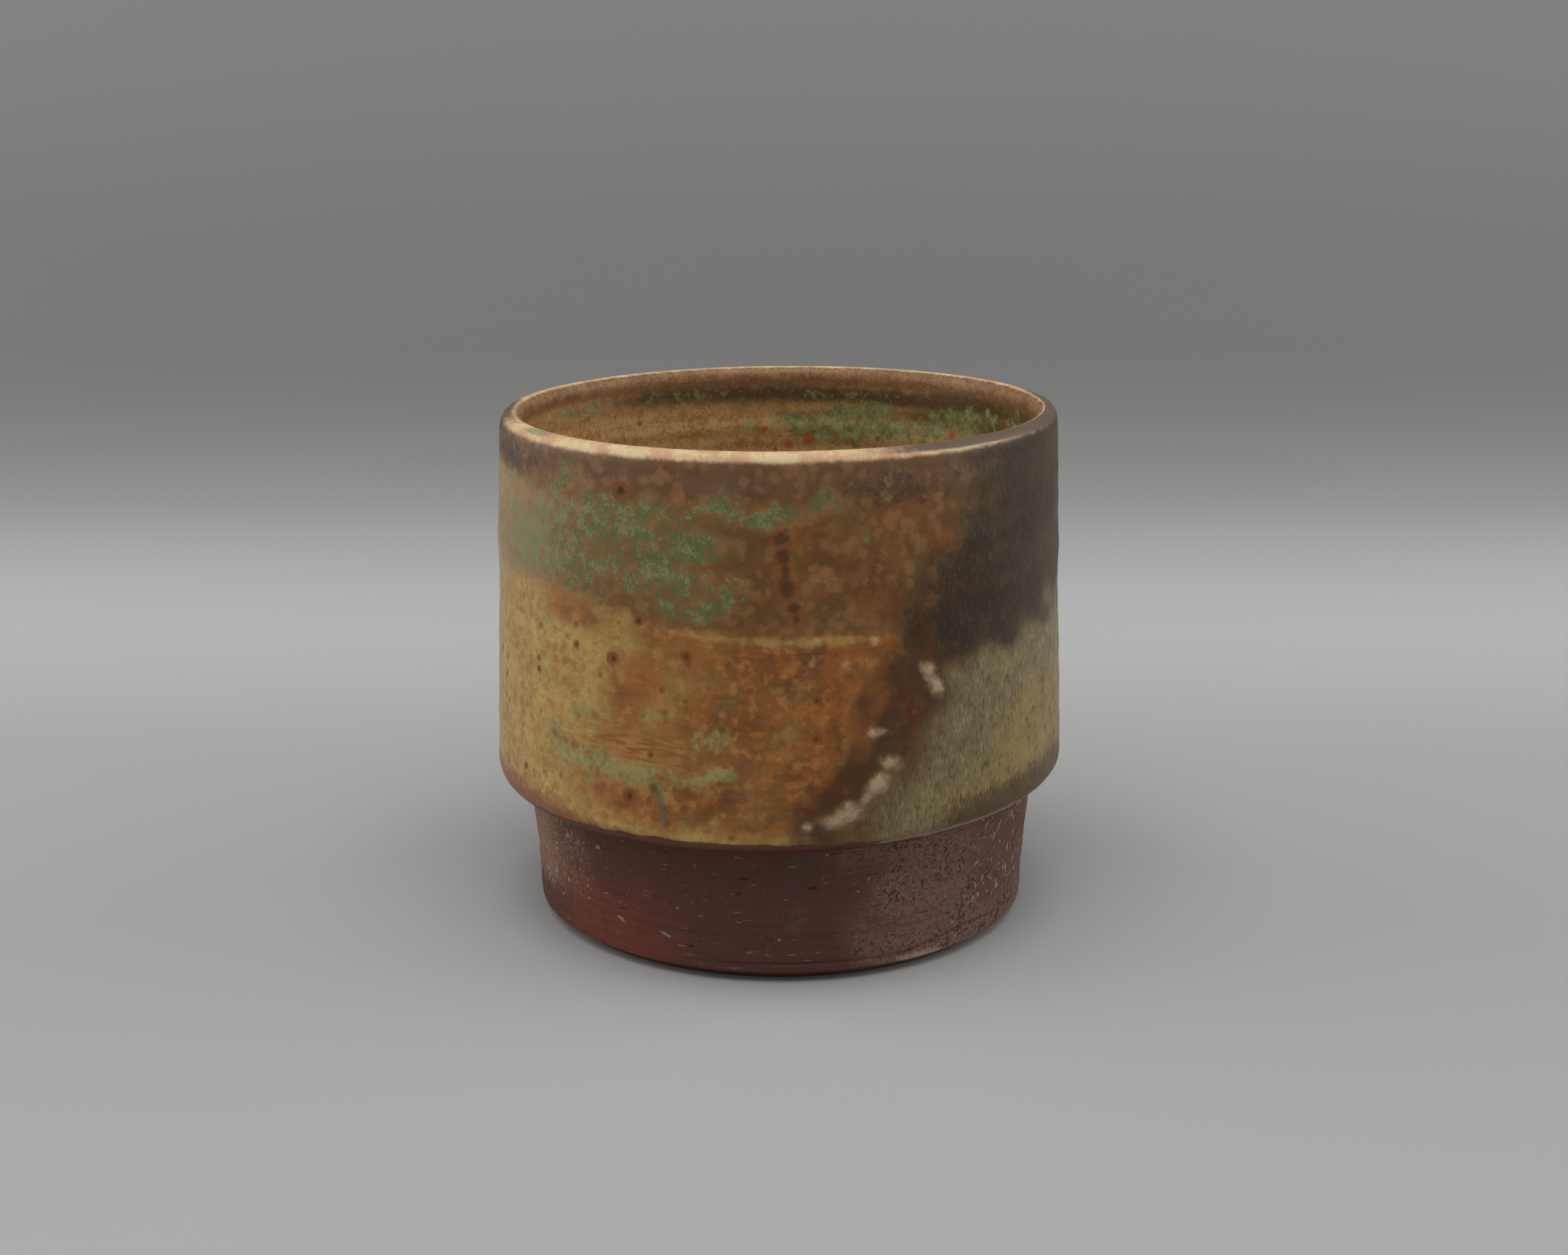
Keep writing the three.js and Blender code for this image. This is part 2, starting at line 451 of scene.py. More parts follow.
FOOT_SCRATCHES = [
    ((-25.8, 6.2), (1.5, 0.3), -14),
    ((-37.8, 7), (1.6, 0.3), -18),
    ((-0.4, 7.0), (0.5, 0.3), 0),
    ((-43, 18.2), (0.6, 0.4), 0),
    ((-22.6, 11), (0.4, 0.4), 0),
    ((41.7, 5.6), (0.4, 0.4), 0),
]
LINER_GREENS = [
    (0.9, (178, 71), (3.2, 1.4), 0),
    (1.0, (172, 68.8), (5, 2.4), 0),
    (1.0, (165, 70.6), (5, 3.6), 0),
    (0.95, (158, 70), (4.5, 3.2), 0),
    (0.85, (151, 70), (4.5, 2.6), 0),
    (0.7, (156, 73.2), (3, 1.2), 0),
    (0.75, (141, 70), (4.5, 2), 0),
    (0.74, (133, 72), (6, 2.5), 0),
    (0.7, (123, 73), (6, 2.5), 0),
    (0.65, (108, 74.6), (6, 2.2), 0),
    (0.85, (-125, 75), (5, 0.9), 0),
    (0.55, (-117, 75.8), (3, 0.8), 0),
    (0.55, (-172, 69.6), (3.4, 1.0), 0),
    (0.45, (-163, 68), (4, 0.9), 0),
    (0.5, (-30, 60), (26, 8), 0),
]
LINER_SPOTS = [
    (173, 67.4, 1.2),
    (166, 67.9, 0.7),
    (162, 67.1, 0.7),
    (178, 66.2, 0.8),
    (160, 71.2, 0.5),
    (-176, 69, 0.6),
    (146, 70.5, 0.6),
    (133, 70, 0.9),
]


def strongest(angle, height, patches):
    """The highest of several bells at each point."""
    return np.max([patch(angle, height, at, half, tilt) for at, half, tilt in patches], axis=0)


def smoke_field(angle, height):
    """Dark flash of the fire on the right: past a slanting left edge and above a lower edge, fading
    behind."""
    left = np.interp(height, [54, 57, 61, 65, 70, 76], [22, 24, 28, 33, 38, 41])
    inward = arc_from(angle, 0) - np.radians(left) * BODY_RADIUS
    degrees = np.degrees(angle)
    low = np.interp(degrees, [20, 26, 33, 48, 54, 74, 110, 140], [54, 52, 50, 49.4, 51.4, 52, 50, 55])
    ragged = 1.2 * mottle(angle, height, 9, 11)
    return rise(inward + ragged, -13, 11) * rise(height - low + ragged, -4, 4.5) * rise(-degrees, -150, -105)


def ash_edge(angle, height):
    """Distance in mm into the ash-green zone, which lies right of a slanting edge."""
    left = np.interp(height, [23, 27, 30, 35, 40, 45, 50], [9, 11, 13.5, 19.5, 24.5, 29.5, 33])
    return arc_from(angle, 0) - np.radians(left) * BODY_RADIUS


def olive_field(angle, height):
    """Ash-green zone under the smoke, fading behind."""
    ragged = 1.1 * mottle(angle, height, 8, 12)
    inward = ash_edge(angle, height) + ragged
    return rise(inward, -5, 13) * rise(-height, -62, -48) * rise(-np.degrees(angle), -160, -110)


def umber_field(angle, height):
    """Dark brown between the rust and the ash zone, widest under the smoke; the ash covers its right side."""
    left = np.interp(height, [24, 29.5, 32.6, 36.7, 41, 45, 49, 54], [4, 5.5, 8.5, 13.5, 17, 19.5, 21, 23])
    inward = arc_from(angle, 0) - np.radians(left) * BODY_RADIUS + 1.5 * mottle(angle, height, 7, 14)
    return rise(inward, -6, 4) * rise(-np.degrees(angle), -120, -60) * rise(-height, -60, -53)


def rust_field(angle, height):
    """How far the first glaze has gone from ochre to rust: most right of the middle of the front, least on
    the left, and less along the dip line and the lower end."""
    degrees = np.degrees(angle)
    front = 0.1 + 0.85 * rise(degrees, -60, 14) * rise(-degrees, -75, -40)
    behind = 0.7 * patch(angle, height, (-128, 42), (26, 18))
    behind = behind + 0.8 * patch(angle, height, (172, 40), (24, 16))
    clouds = sum(share * patch(angle, height, at, half, tilt) for share, at, half, tilt in RUST_CLOUDS)
    paler = 0.3 * np.exp(-((height - 52) / 1.6) ** 2) * rise(-degrees, 12, 34)
    paler = paler + 0.45 * np.exp(-((height - 24) / 1.3) ** 2)
    return np.clip(front + behind + clouds - paler + 0.1 * mottle(angle, height, 11, 13), 0, 1)


def celadon_field(angle, height):
    """How thickly the grey-green crystals stand in the second glaze."""
    total = sum(share * patch(angle, height, at, half, tilt) for share, at, half, tilt in CELADON_PATCHES)
    total = total + sum(share * run(angle, height, places, half) for share, places, half in CELADON_LINES)
    return np.clip(total * rise(height - dip_line(angle), -1.5, 1.0), 0, 1.1)


def milky_field(angle, height):
    """Pale green runs in the first glaze, low on the left."""
    return np.max([share * run(angle, height, places, half) for share, places, half in MILKY_RUNS], axis=0)


def cream_field(angle, height):
    """Raised pale patches in a row down the edge of the rust."""
    found = [share * patch(angle, height, at, half, tilt) for share, at, half, tilt in CREAM_PATCHES]
    return np.max(found, axis=0)


def spot_field(angle, height, spots):
    """1 in the middle of a spot, falling by 1 in each of its radii, down to -4."""
    found = [1 - np.hypot(arc_from(angle, turn), height - up) / size for turn, up, size in spots]
    return np.clip(np.max(found, axis=0), -4, 1)


def below_line(angle, height, turns, levels, blur):
    """1 under a line through levels at turns in degrees, 0 over it, with a soft step of a blur in mm."""
    line = np.interp(np.degrees(angle), turns, levels)
    return rise(line - height, -blur, blur)


def end_fields(angle, height):
    """The glaze's lower end: a dark line at the very end, terracotta on the left, brown on the right with a
    painted highlight, a pale grey line, along its rim."""
    degrees = np.degrees(angle)
    ragged = height + 0.07 * mottle(angle, height, 5, 15)
    turns = [-180, -130, -90, -67, -48, -40, -30, -15, 180]
    levels = [22.6, 25.0, 27.0, 27.0, 26.2, 25.4, 24.3, 23.0, 22.6]
    end = below_line(angle, ragged, [-180, -60, -25, 0, 25, 180], [22.6, 23.5, 24.25, 24.05, 23.2, 22.5], 0.3)
    turn = below_line(angle, ragged, [-180, 20, 33, 50, 70, 180], [22, 24.8, 27.4, 27.9, 28.8, 26.9], 3.0)
    # The rim is a painted highlight: a pale line on the down-facing roll of the shoulder
    rim = np.exp(-((ragged - 22.9) / 0.4) ** 2) * rise(degrees, 12, 24) * rise(-degrees, -75, -55)
    return {
        "terracotta": below_line(angle, ragged, turns, levels, 1.9),
        "end": end,
        "turn": turn * rise(degrees, 16, 44),
        "rim": rim,
    }


def glaze_fields(angle, height):
    """All that the outside glazes' finish reads off the wall, at each point."""
    degrees = np.degrees(angle)
    above = height - dip_line(angle)
    smoke = smoke_field(angle, height)
    soot = 0.8 * patch(angle, height, (22, 74.4), (13, 2.8)) + patch(angle, height, (-70, 75.2), (13, 2.6))
    sunny = rise(degrees, 30, 58) * rise(-height, -47, -38)
    combed = 0.7 * patch(angle, height, (-13, 52.6), (9, 1.4), 2)
    band_shown = 0.3 * rise(degrees, -52, -36) + 0.6 * rise(degrees, -32, -10)
    dip_band = np.exp(-((above + 0.6) / 0.8) ** 2) * band_shown * rise(-degrees, -25, -14)
    return {
        "dip": above,
        "smoke": smoke,
        "haze": rise(degrees + 5 * mottle(angle, height, 11, 16), 44, 84),
        "soot": soot + 0.8 * rise(degrees, 30, 55) * rise(height, 71, 76) * rise(-degrees, -120, -90),
        "olive": olive_field(angle, height),
        "sunny": sunny + 0.4 * patch(angle, height, (36, 27.5), (12, 2.5)),
        "rust": rust_field(angle, height),
        "rusty": strongest(angle, height, RUSTY_PATCHES),
        "lumps": strongest(angle, height, LUMPS),
        "combed": combed + patch(angle, height, (-28, 37.3), (11, 3.2)),
        "umber": umber_field(angle, height),
        "fade": rise(-degrees, 28, 78) * rise(-height, -77, -70) * rise(degrees, -150, -110),
        "celadon": celadon_field(angle, height) * (1 - 0.8 * smoke),
        "milky": milky_field(angle, height),
        "tail": run(angle, height, GREEN_TAIL, 0.7),
        "cream": cream_field(angle, height),
        "spot": spot_field(angle, height, IRON_SPOTS),
        "drip": np.maximum(strongest(angle, height, DRIP_BLOBS), 0.6 * run(angle, height, RUST_DRIP, 0.8)),
        "halo": run(angle, height, RUST_DRIP, 1.8),
        "dip_band": dip_band,
        "mauve": rise(height, 71.5, 76.5),
        **end_fields(angle, height),
    }


def lip_fields(angle, across):
    """What the finish reads off the lip. Across goes from 0 on its outer side over 90 on its crest to 180
    inside."""
    degrees = np.degrees(angle)
    right = rise(degrees, 4, 38) * rise(-degrees, -125, -95)
    darker = rise(degrees, 30, 72) * rise(-degrees, -125, -95) * rise(-across, -80, -50)
    left = np.exp(-(arc_from(angle, -88) / 15) ** 2) * rise(-across, -135, -100)
    green = np.exp(-(arc_from(angle, -57) / 4.5) ** 2)
    return {
        "lip": rise(across, 20, 58) * rise(-across, -142, -112) * (1 - 0.75 * darker - 0.7 * left),
        "lip_inner": rise(across, 112, 146),
        "lip_grey": right * rise(across, 40, 66) * rise(-across, -132, -106),
        "lip_green": green * rise(across, 50, 80) * rise(-across, -125, -105),
        "lip_dark": left * rise(across, 0, 20),
    }


def glaze_relief(angle, height):
    """Height of the glaze over its even coat in mm: slow waves, raised cream patches, lumps low on the front,
    a run, a bead along its lower end and pits in the iron spots."""
    slow = 0.03 * mottle(angle, height, 12, 21) + 0.014 * mottle(angle, height, 5, 22)
    lumps = 0.08 * mottle(angle, height, 5, 23) * patch(angle, height, (4, 29), (20, 5.5))
    lumps = lumps - 0.12 * strongest(angle, height, LUMPS)
    cream = 0.25 * cream_field(angle, height)
    drop = 0.25 * run(angle, height, GLAZE_DROP, 1.0)
    bead = 0.12 * np.exp(-((height - 23.6) / 0.9) ** 2)
    pits = -0.1 * rise(spot_field(angle, height, IRON_SPOTS), 0.1, 0.8)
    return (slow + lumps + cream + drop + bead + pits) * rise(height, FOOT_HEIGHT, 23)


# Materials


def colour(code):
    """A written sRGB colour as the linear values that a shader takes."""
    parts = np.array([int(code[i:i + 2], 16) for i in (0, 2, 4)]) / 255
    linear = np.where(parts <= 0.04045, parts / 12.92, ((parts + 0.055) / 1.055) ** 2.4)
    return (*linear, 1.0)


class Finish:
    """The nodes of one material. Each method adds nodes and gives back what comes out of them."""

    def __init__(self, name):
        self.material = bpy.data.materials.new(name)
        self.material.use_nodes = True
        self.tree = self.material.node_tree
        self.shader = self.tree.nodes["Principled BSDF"]
        self.place = self.node("ShaderNodeTexCoord").outputs["Object"]

    def node(self, kind, **settings):
        """A new node of a kind, with its settings."""
        made = self.tree.nodes.new(kind)
        for name, value in settings.items():
            setattr(made, name, value)
        return made

    def feed(self, socket, value):
        """Links what comes out of a node to a socket, or sets a plain value on it."""
        if isinstance(value, bpy.types.NodeSocket):
            self.tree.links.new(value, socket)
        else:
            socket.default_value = value

    def field(self, name):
        """A field that was put on the mesh."""
        return self.node("ShaderNodeAttribute", attribute_name=name).outputs["Fac"]

    def squashed(self, across, upward):
        """The place with its lengths across and upward multiplied, which draws a pattern out the other
        way."""
        made = self.node("ShaderNodeMapping")
        self.feed(made.inputs["Vector"], self.place)
        made.inputs["Scale"].default_value = (across, across, upward)
        return made.outputs["Vector"]

    def pushed(self, size, reach):
        """The place pushed about by a cloudy pattern of one size, by about a reach in mm."""
        cloud = self.cloudy(size, 2, 0.5, self.place)
        made = self.node("ShaderNodeVectorMath", operation="MULTIPLY_ADD")
        self.feed(made.inputs[0], cloud.outputs["Color"])
        made.inputs[1].default_value = (4 * reach * MM,) * 3
        self.feed(made.inputs[2], self.place)
        return made.outputs["Vector"]

    def cloudy(self, size, detail, roughness, place):
        """A cloudy pattern of about one size in mm."""
        made = self.node("ShaderNodeTexNoise")
        self.feed(made.inputs["Vector"], place)
        made.inputs["Scale"].default_value = 1 / (size * MM)
        made.inputs["Detail"].default_value = detail
        made.inputs["Roughness"].default_value = roughness
        return made

    def noise(self, size, detail, roughness, place=None):
        """Cloudy values about 0.5, of about one size in mm."""
        return self.cloudy(size, detail, roughness, place or self.place).outputs["Fac"]

    def cells(self, size, place=None):
        """Scattered cells of about one size in mm: distance from their middles, in that size, and a chance
        for each."""
        made = self.node("ShaderNodeTexVoronoi")
        self.feed(made.inputs["Vector"], place or self.place)
        made.inputs["Scale"].default_value = 1 / (size * MM)
        split = self.node("ShaderNodeSeparateColor")
        self.feed(split.inputs["Color"], made.outputs["Color"])
        return made.outputs["Distance"], split.outputs["Red"]

    def dots(self, size, radius, share, place=None):
        """Soft dots in a share of the scattered cells of one size, with a radius as a part of that size."""
        away, chance = self.cells(size, place)
        soft = self.span(away, 0.45 * radius, radius, 1, 0)
        return self.times(soft, self.span(chance, 1 - share, 1.03 - share))

    def arith(self, operation, first, second):
        """Two values joined by an operation."""
        made = self.node("ShaderNodeMath", operation=operation)
        self.feed(made.inputs[0], first)
        self.feed(made.inputs[1], second)
        return made.outputs["Value"]

    def sum(self, first, second):
        """One value and another."""
        return self.arith("ADD", first, second)

    def less(self, first, second):
        """One value less another."""
        return self.arith("SUBTRACT", first, second)

    def times(self, first, second):
        """One value times another."""
        return self.arith("MULTIPLY", first, second)

    def span(self, value, low, high, start=0.0, end=1.0):
        """A value carried by an S-shaped step from start at low to end at high."""
        made = self.node("ShaderNodeMapRange", interpolation_type="SMOOTHSTEP")
        self.feed(made.inputs["Value"], value)
        made.inputs["From Min"].default_value = low
        made.inputs["From Max"].default_value = high
        made.inputs["To Min"].default_value = start
        made.inputs["To Max"].default_value = end
        return made.outputs["Result"]

    def lay(self, under, over, amount):
        """One colour laid over another by an amount."""
        made = self.node("ShaderNodeMix", data_type="RGBA")
        share, first, second = [socket for socket in made.inputs if socket.enabled]
        self.feed(share, amount)
        self.feed(first, under)
        self.feed(second, over)
        return next(socket for socket in made.outputs if socket.enabled)

    def bump(self, height, depth):
        """Small relief of a depth in mm."""
        made = self.node("ShaderNodeBump")
        made.inputs["Distance"].default_value = depth * MM
        self.feed(made.inputs["Height"], height)
        return made.outputs["Normal"]


class Mottled(Finish):
    """A finish with patterns that its layers share."""

    def __init__(self, name):
        super().__init__(name)
        self.grit = self.noise(0.42, 2, 0.5)
        self.fine = self.noise(0.95, 3, 0.6)
        self.small = self.noise(1.7, 3, 0.55)
        self.blotch = self.noise(3.2, 3, 0.55)
        self.broad = self.noise(6, 3, 0.55)
        self.cloud = self.noise(11, 2, 0.5)
        self.around = self.noise(0.9, 3, 0.6, self.squashed(0.2, 1.3))
        self.upright = self.noise(0.6, 3, 0.6, self.squashed(2.0, 0.55))

    def broken(self, value, *patterns, **shares):
        """A value made ragged: each share adds that much of a pattern's swing about the middle. A pattern
        comes with its share, or is a shared one that its share names."""
        named = [(getattr(self, name), share) for name, share in shares.items()]
        for pattern, share in [*patterns, *named]:
            value = self.sum(value, self.times(self.less(pattern, 0.5), share))
        return value

    def ragged(self, name, low, high, most, **shares):
        """How strongly a field shows, up to a most: its edge broken by patterns, and nothing where the field
        is none."""
        field = self.field(name)
        shown = self.span(self.broken(field, **shares), low, high, 0, most)
        return self.times(shown, self.span(field, 0.02, 0.2))

    def show(self, under, over, name, low, high, most, **shares):
        """One colour laid over another where a field shows."""
        return self.lay(under, over, self.ragged(name, low, high, most, **shares))


OCHRE_PALE = colour("bfa35e")
OCHRE_DEEP = colour("9e7a3c")
OCHRE_ORANGE = colour("9d6a33")
RUST_BRIGHT = colour("9a5b26")
# Deep rust of the glaze, also laid as painted shade in the hollows of the lumps
RUST_DEEP_AND_SHADE = colour("653a14")
RUST_YELLOW = colour("b48244")
BROWN_WARM = colour("7d5122")
BROWN_DEEP = colour("654421")
BROWN_OLIVE = colour("665029")
BROWN_PALE = colour("946c43")
FADED = colour("b2956b")
MAUVE = colour("6d513a")
CELADON = colour("5f673c")
CELADON_PALE = colour("80865a")
MILKY_GREEN = colour("9c9159")
MILKY_DEEP = colour("69643a")
SMOKE_DARK = colour("2b1b09")
SMOKE_GREY = colour("33260f")
SMOKE_PALE = colour("5a4c33")
SOOT = colour("392d20")
OLIVE_GREY = colour("796b46")
OLIVE_YELLOW = colour("8e7843")
OLIVE_DARK = colour("41311a")
OLIVE_PALE = colour("988b5e")
TURN_BROWN = colour("48341c")
UMBER = colour("4c2b0c")
CREAM = colour("bea07d")
IRON = colour("3c1f0a")
IRON_RIM = colour("7b4517")
DRIP_DARK = colour("47290f")
TERRACOTTA = colour("874e31")
TERRACOTTA_DARK = colour("51210f")
PAINTED_HIGHLIGHT_GREY = colour("9a8a74")
LIP_CREAM = colour("dbc494")
LIP_PEACH = colour("cda07a")
LIP_GREY = colour("5a4a3e")
CLAY_DARK = colour("59382f")
CLAY_RED = colour("6e3b2f")
CLAY_TAN = colour("9a7460")
CLAY_ASH = colour("7b6052")
# Dark of the clay's pits, lines and drag marks, also laid as painted shade in the turning groove
CLAY_PIT_AND_SHADE = colour("2d1e19")
CLAY_BLUE = colour("4c4141")
GROG = colour("b09a88")
LINER_TAN = colour("bb9461")
LINER_DEEP = colour("987246")
LINER_RUST = colour("9c5c2c")
LINER_TOP = colour("7a5538")
LINER_DARK = colour("3a2917")
LINER_GREEN = colour("8c925f")
LINER_GREEN_DEEP = colour("66693f")
FLOOR_GREY = colour("ababaa")
# Painted light and shade on the background paper: a bright band behind the cup, darker up the sweep
PAINTED_LIGHT_BAND_GREY = colour("bababa")
PAINTED_SHADE_WALL_GREY = colour("777776")
PAINTED_SHADE_HIGH_GREY = colour("868685")


def first_coat(make):
    """Ochre streaked round by the wheel with orange freckles, going over in soft clouds to mottled rust."""
    streaks = make.broken(0.5, around=0.35, blotch=0.6, fine=0.5, grit=0.5)
    ochre = make.lay(OCHRE_DEEP, OCHRE_PALE, make.span(streaks, 0.26, 0.66))
    freckles = make.dots(1.5, 0.65, 0.65, make.pushed(1.0, 0.4))
    freckles = make.times(freckles, make.span(make.broad, 0.4, 0.6, 0.35, 0.8))
    ochre = make.lay(ochre, OCHRE_ORANGE, freckles)
    ochre = make.lay(ochre, OCHRE_ORANGE, make.span(make.field("rust"), 0.3, 1.0, 0, 0.5))
    depth = make.broken(0.5, broad=0.9, blotch=0.7, small=0.5, fine=0.4)
    rust = make.lay(RUST_DEEP_AND_SHADE, RUST_BRIGHT, make.span(depth, 0.25, 0.68))
    clouds = make.broken(make.field("rust"), broad=0.7, blotch=0.6, around=0.5)
    toward = make.broken(clouds, small=0.9, fine=0.6, grit=0.4)
    skin = make.lay(ochre, rust, make.span(toward, 0.05, 1.0))
    flecks = make.span(make.broken(0.5, (make.noise(2.6, 2, 0.5), 1.2), fine=0.4), 0.54, 0.74, 0, 0.6)
    skin = make.lay(skin, RUST_YELLOW, make.times(flecks, make.span(make.field("rust"), 0.2, 0.6)))
    glints = make.span(make.broken(make.small, grit=0.5, blotch=0.6), 0.54, 0.74, 0, 0.36)
    skin = make.lay(skin, RUST_YELLOW, glints)
    comb = make.noise(0.8, 2, 0.5, make.squashed(0.24, 1.6))
    skin = make.lay(skin, RUST_YELLOW, make.times(make.field("combed"), 0.5))
    skin = make.lay(skin, BROWN_WARM, make.times(make.span(comb, 0.44, 0.6, 0, 0.8), make.field("combed")))
    # Painted shade: deep rust laid in the hollows of the lumps low on the front
    return make.show(skin, RUST_DEEP_AND_SHADE, "lumps", 0.2, 1.0, 0.5, small=1.0, blotch=0.8)


def second_coat(make):
    """Brown with paler round spots and rusty and olive clouds, mauve under the lip, faded to tan on the
    left."""
    depth = make.broken(0.5, blotch=0.9, small=0.7)
    skin = make.lay(BROWN_DEEP, BROWN_WARM, make.span(depth, 0.3, 0.66))
    skin = make.lay(skin, BROWN_OLIVE, make.span(make.cloud, 0.44, 0.6, 0, 0.4))
    skin = make.lay(skin, RUST_BRIGHT, make.span(make.noise(4.6, 3, 0.6), 0.54, 0.74, 0, 0.35))
    skin = make.show(skin, MAUVE, "mauve", 0.1, 0.9, 0.7, blotch=1.0, small=0.8)
    skin = make.show(skin, FADED, "fade", 0.05, 0.95, 0.9, blotch=0.7)
    big = make.times(make.dots(2.9, 0.55, 0.6, make.pushed(1.8, 0.5)), 0.6)
    little = make.times(make.dots(1.8, 0.6, 0.55, make.pushed(1.0, 0.35)), 0.5)
    skin = make.lay(make.lay(skin, BROWN_PALE, big), BROWN_PALE, little)
    dark = make.dots(1.5, 0.5, 0.35, make.pushed(0.9, 0.3))
    return make.lay(skin, BROWN_DEEP, make.times(dark, make.span(make.field("fade"), 0.2, 0.8, 0.5, 0.15)))


def with_crystals(make, skin):
    """Grey-green crystals over a skin: a haze and a soft net round pinkish islands, and pale milky runs with
    rust rings and a dark tail."""
    celadon = make.field("celadon")
    skin = make.show(skin, BROWN_PALE, "celadon", 0.1, 0.8, 0.5, blotch=0.6)
    away = make.cells(1.15, make.pushed(0.8, 0.3))[0]
    net = make.broken(away, grit=0.4, fine=0.7, small=0.5, blotch=0.7)
    amount = make.span(make.sum(net, make.times(celadon, 0.64)), 0.82, 1.17, 0, 0.88)
    amount = make.times(amount, make.span(celadon, 0.05, 0.3))
    tint = make.broken(make.span(make.field("fade"), 0, 0.8, 0.4, 0.75), grit=0.7, small=0.9, blotch=0.6)
    skin = make.lay(skin, make.lay(CELADON, CELADON_PALE, make.span(tint, 0.38, 0.62)), amount)
    milky = make.ragged("milky", 0.22, 0.8, 0.85, fine=0.9, small=1.1, blotch=0.6)
    green = make.span(make.broken(0.5, broad=0.7, fine=0.7), 0.2, 0.6)
    skin = make.lay(skin, make.lay(MILKY_DEEP, MILKY_GREEN, green), milky)
    rings = make.dots(1.7, 0.5, 0.5, make.pushed(1.2, 0.25))
    rings = make.times(rings, make.span(make.field("milky"), 0.15, 0.6))
    skin = make.lay(skin, RUST_DEEP_AND_SHADE, make.times(rings, 0.6))
    skin = make.lay(skin, OCHRE_ORANGE, make.span(rings, 0.5, 0.9, 0, 0.8))
    tail = make.ragged("tail", 0.15, 1.0, 0.6, fine=0.8, small=0.8)
    return make.lay(skin, OLIVE_DARK, tail), make.sum(amount, milky)


def with_umber(make, skin):
    """Rusty patches and the dark brown band over a skin."""
    skin = make.show(skin, RUST_BRIGHT, "rusty", 0.2, 1.0, 0.5, fine=1.0, small=1.0)
    umber = make.lay(UMBER, IRON_RIM, make.span(make.blotch, 0.5, 0.68, 0, 0.4))
    umber = make.lay(umber, OLIVE_DARK, make.span(make.broken(make.broad, fine=0.5), 0.46, 0.6, 0, 0.7))
    return make.show(skin, umber, "umber", 0.0, 0.9, 0.94, broad=0.7, small=0.5, fine=0.3)


def with_ash(make, skin):
    """The ash zone on the right over a skin: olive grey, yellower low on the right, grained upright, brown at
    the turn of the shoulder."""
    sunny = make.broken(make.field("sunny"), cloud=1.2, blotch=0.6)
    olive = make.lay(OLIVE_GREY, OLIVE_YELLOW, make.span(sunny, 0.1, 0.9))
    grain = make.broken(make.upright, small=0.5, blotch=0.4)
    olive = make.lay(olive, OLIVE_DARK, make.span(grain, 0.51, 0.72, 0, 0.66))
    olive = make.lay(olive, OLIVE_PALE, make.span(grain, 0.48, 0.3, 0, 0.65))
    olive = make.show(olive, TURN_BROWN, "turn", 0.1, 0.95, 0.88, blotch=0.9, upright=0.8, fine=0.6)
    return make.show(skin, olive, "olive", 0.1, 0.95, 1.0, broad=0.7, fine=0.3)


def with_smoke(make, skin):
    """Soot in spots under the lip and the smoke over a skin."""
    skin = make.show(skin, SOOT, "soot", 0.3, 1.0, 0.65, small=1.5, fine=1.5, grit=0.8)
    grey = make.broken(make.span(make.field("dip"), 8, 24), upright=0.7, cloud=0.8)
    smoke = make.lay(SMOKE_DARK, SMOKE_GREY, make.span(grey, 0.1, 0.95))
    haze = make.broken(make.field("haze"), upright=0.7, blotch=0.6, cloud=0.6)
    smoke = make.lay(smoke, SMOKE_PALE, make.span(haze, 0.1, 1.0, 0, 0.6))
    smoke = make.lay(smoke, OLIVE_DARK, make.span(make.blotch, 0.45, 0.65, 0, 0.6))
    smoke = make.lay(smoke, OLIVE_GREY, make.span(make.upright, 0.54, 0.75, 0, 0.4))
    return make.show(skin, smoke, "smoke", 0.0, 0.95, 0.94, broad=0.3, fine=0.5)


def with_marks(make, skin):
    """The pale band of the dip, the rust drip, cream patches and iron spots over a skin."""
    skin = make.show(skin, OCHRE_PALE, "dip_band", 0.2, 1.1, 0.5, around=1.3, small=1.6, blotch=1.0)
    skin = make.show(skin, RUST_BRIGHT, "halo", 0.3, 1.0, 0.5, small=1.2, fine=0.8)
    skin = make.show(skin, DRIP_DARK, "drip", 0.2, 0.9, 0.8, fine=1.1, small=1.0)
    skin = make.show(skin, CREAM, "cream", 0.05, 0.6, 0.35, small=0.8, blotch=0.5)
    skin = make.show(skin, CREAM, "cream", 0.34, 0.98, 0.72, fine=1.2, small=1.1, grit=0.6)
    spot = make.broken(make.field("spot"), grit=0.9, fine=0.7)
    skin = make.lay(skin, IRON_RIM, make.span(spot, -0.6, 0.2, 0, 0.85))
    skin = make.lay(skin, IRON, make.span(spot, 0.25, 0.8, 0, 0.85))
    specks = make.times(make.dots(3.2, 0.22, 0.4), make.span(make.field("dip"), -2, 6, 0.7, 0.2))
    clear = make.span(make.sum(make.field("smoke"), make.field("olive")), 0.3, 0.9, 1, 0)
    return make.lay(skin, IRON_RIM, make.times(specks, clear))


